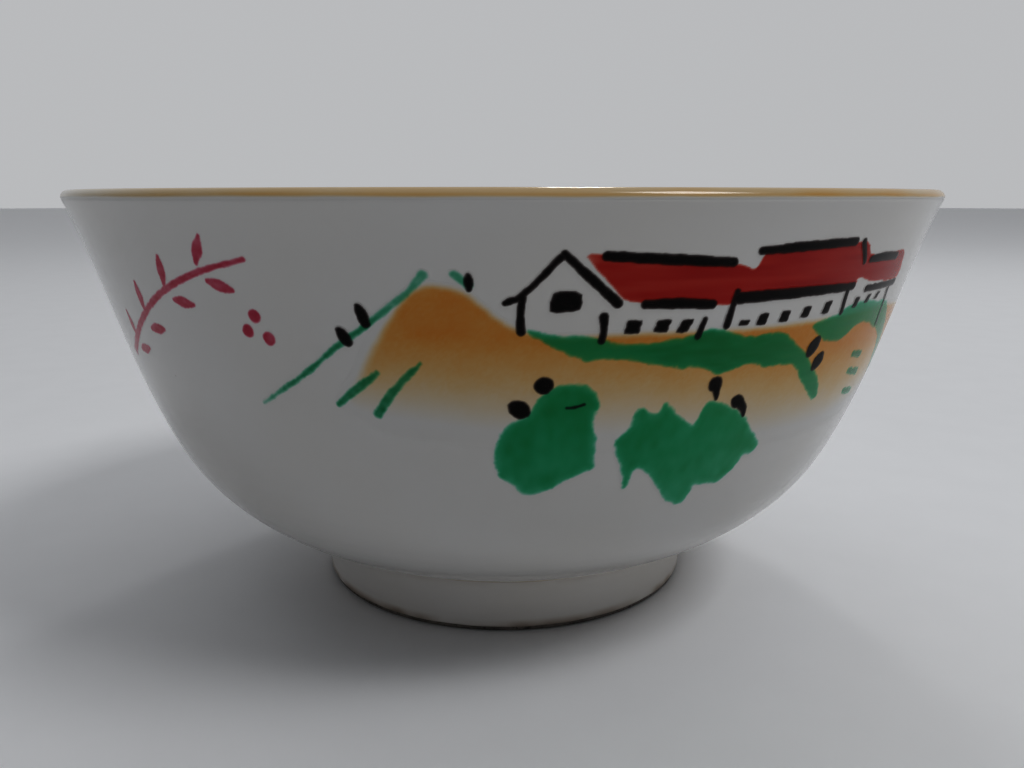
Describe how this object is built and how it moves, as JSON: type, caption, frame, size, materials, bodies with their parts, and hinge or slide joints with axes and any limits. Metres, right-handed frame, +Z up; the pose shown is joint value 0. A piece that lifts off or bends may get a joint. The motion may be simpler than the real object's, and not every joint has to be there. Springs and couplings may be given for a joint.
{
  "type": "rice bowl",
  "caption": "Footed rice bowl of white glazed stoneware with a flared lip, an ochre lip line and a painted hill, houses and bushes on one side.",
  "frame": {"origin": "middle of the foot's standing face, on the surface that the bowl stands on", "axes": "+Z up along the bowl's axis; the painted scene faces -Y, with its houses towards +X"},
  "size_m": [0.15, 0.15, 0.0722],
  "materials": {
    "body_clay": "unglazed biscuit, matt",
    "foot_clay": "unglazed biscuit, matt, turned",
    "seam_slip": "brown slip under thin glaze",
    "outer_glaze": "glossy white glaze",
    "inner_glaze": "glossy white glaze",
    "foot_glaze": "glossy white glaze, thinner",
    "base_glaze": "glossy white glaze, thinner",
    "lip_ochre": "ochre enamel line, glossy",
    "hill_ochre": "ochre enamel sprayed thin, fading out",
    "grass_green": "green enamel, glossy",
    "bush_green": "green enamel, glossy",
    "roof_red": "iron red enamel, glossy",
    "outline_black": "black enamel, glossy",
    "sprig_red": "crimson enamel, glossy"
  },
  "bodies": {
    "root": {"bowl_body": "body_clay", "foot_ring": "foot_clay", "foot_seam": "seam_slip", "outer_glaze": "outer_glaze", "inner_glaze": "inner_glaze", "foot_glaze": "foot_glaze", "base_glaze": "base_glaze", "lip_line": "lip_ochre", "hill_wash": "hill_ochre", "grass_bank": "grass_green", "left_bush": "bush_green", "right_bush": "bush_green", "roofs": "roof_red", "grass_strokes": "grass_green", "roof_strokes": "outline_black", "house_lines": "outline_black", "windows": "outline_black", "dark_marks": "outline_black", "red_sprig": "sprig_red"}
  },
  "joints": []
}
